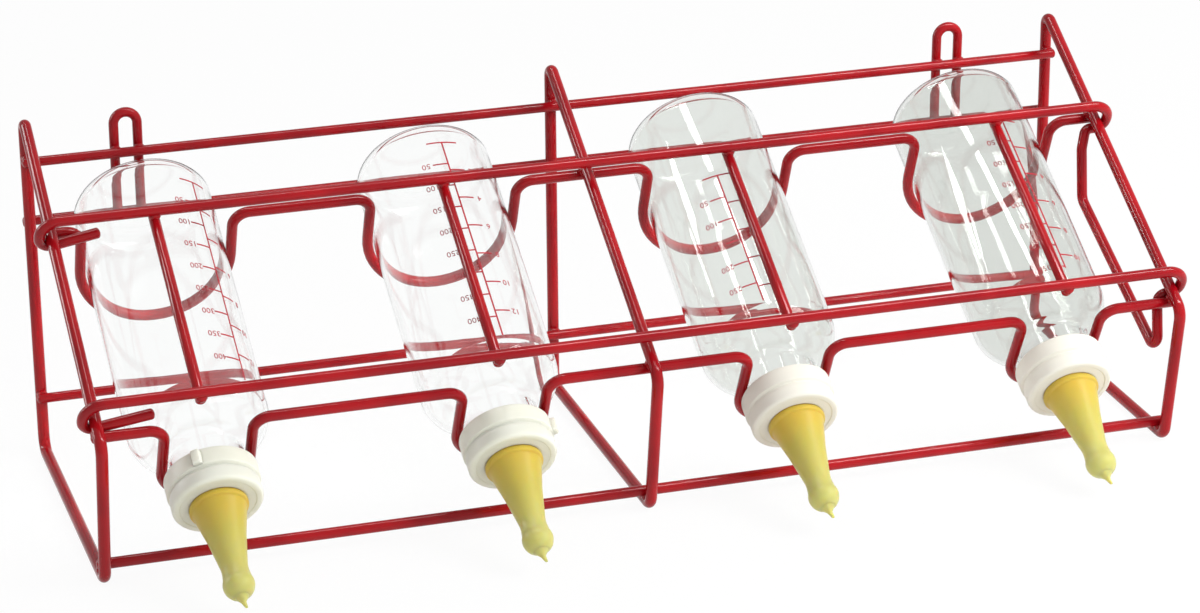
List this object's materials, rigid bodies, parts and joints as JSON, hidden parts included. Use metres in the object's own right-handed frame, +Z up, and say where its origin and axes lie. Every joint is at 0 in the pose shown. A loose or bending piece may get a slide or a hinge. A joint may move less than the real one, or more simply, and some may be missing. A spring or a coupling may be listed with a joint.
{
  "type": "feeding bottle rack",
  "caption": "Coated wire rack that holds glass feeding bottles in a row, sloping down to the front, with screw caps, rubber teats and a hooked wire gate over them.",
  "frame": {"origin": "bottom centre of the bounding box, on the surface that the rack stands on", "axes": "+X along the row of bottles, towards the end with the sprung dip in the gate wire; -Y to the front, where the teats point; +Z up"},
  "size_m": [0.5708, 0.2379, 0.1829],
  "materials": {
    "red_coating": "glossy plastic dip coating over steel wire",
    "clear_glass": "clear smooth glass",
    "cap_plastic": "satin moulded plastic",
    "teat_rubber": "smooth amber latex, slightly translucent"
  },
  "bodies": {
    "rack": {"left_end_frame": "red_coating", "middle_frame": "red_coating", "right_end_frame": "red_coating", "top_back_rail": "red_coating", "middle_back_rail": "red_coating", "lower_back_rail": "red_coating", "bottom_front_rail": "red_coating", "rear_bottle_cradle": "red_coating", "front_neck_cradle": "red_coating", "left_hanging_loop": "red_coating", "right_hanging_loop": "red_coating"},
    "gate": {"gate_wire": "red_coating", "gate_bar_1": "red_coating", "gate_bar_2": "red_coating", "gate_bar_3": "red_coating", "gate_bar_4": "red_coating"},
    "bottle_1": {"bottle_1": "clear_glass"},
    "cap_1": {"cap_1": "cap_plastic", "teat_1": "teat_rubber"},
    "bottle_2": {"bottle_2": "clear_glass"},
    "cap_2": {"cap_2": "cap_plastic", "teat_2": "teat_rubber"},
    "bottle_3": {"bottle_3": "clear_glass"},
    "cap_3": {"cap_3": "cap_plastic", "teat_3": "teat_rubber"},
    "bottle_4": {"bottle_4": "clear_glass"},
    "cap_4": {"cap_4": "cap_plastic", "teat_4": "teat_rubber"}
  },
  "joints": [
    {"name": "gate_slide", "type": "slide", "parent": "rack", "child": "gate", "axis": [0, 0.8602, 0.5099], "range_m": [0, 0.0014]},
    {"name": "bottle_1_turn", "type": "hinge", "parent": "rack", "child": "bottle_1", "pos_m": [-0.2226, 0.0993, 0.13809], "axis": [0, -0.8602, -0.5099], "continuous": true},
    {"name": "cap_1_unscrew", "type": "hinge", "parent": "bottle_1", "child": "cap_1", "pos_m": [-0.2226, -0.0515, 0.0487], "axis": [0, 0.8602, 0.5099], "range_deg": [0, 450]},
    {"name": "bottle_2_turn", "type": "hinge", "parent": "rack", "child": "bottle_2", "pos_m": [-0.0758, 0.10119, 0.13921], "axis": [0, -0.8602, -0.5099], "continuous": true},
    {"name": "cap_2_unscrew", "type": "hinge", "parent": "bottle_2", "child": "cap_2", "pos_m": [-0.0758, -0.0496, 0.04982], "axis": [0, 0.8602, 0.5099], "range_deg": [0, 450]},
    {"name": "bottle_3_turn", "type": "hinge", "parent": "rack", "child": "bottle_3", "pos_m": [0.071, 0.10308, 0.14033], "axis": [0, -0.8602, -0.5099], "continuous": true},
    {"name": "cap_3_unscrew", "type": "hinge", "parent": "bottle_3", "child": "cap_3", "pos_m": [0.071, -0.04771, 0.05094], "axis": [0, 0.8602, 0.5099], "range_deg": [0, 450]},
    {"name": "bottle_4_turn", "type": "hinge", "parent": "rack", "child": "bottle_4", "pos_m": [0.2178, 0.1005, 0.13881], "axis": [0, -0.8602, -0.5099], "continuous": true},
    {"name": "cap_4_unscrew", "type": "hinge", "parent": "bottle_4", "child": "cap_4", "pos_m": [0.2178, -0.05029, 0.04941], "axis": [0, 0.8602, 0.5099], "range_deg": [0, 450]}
  ]
}
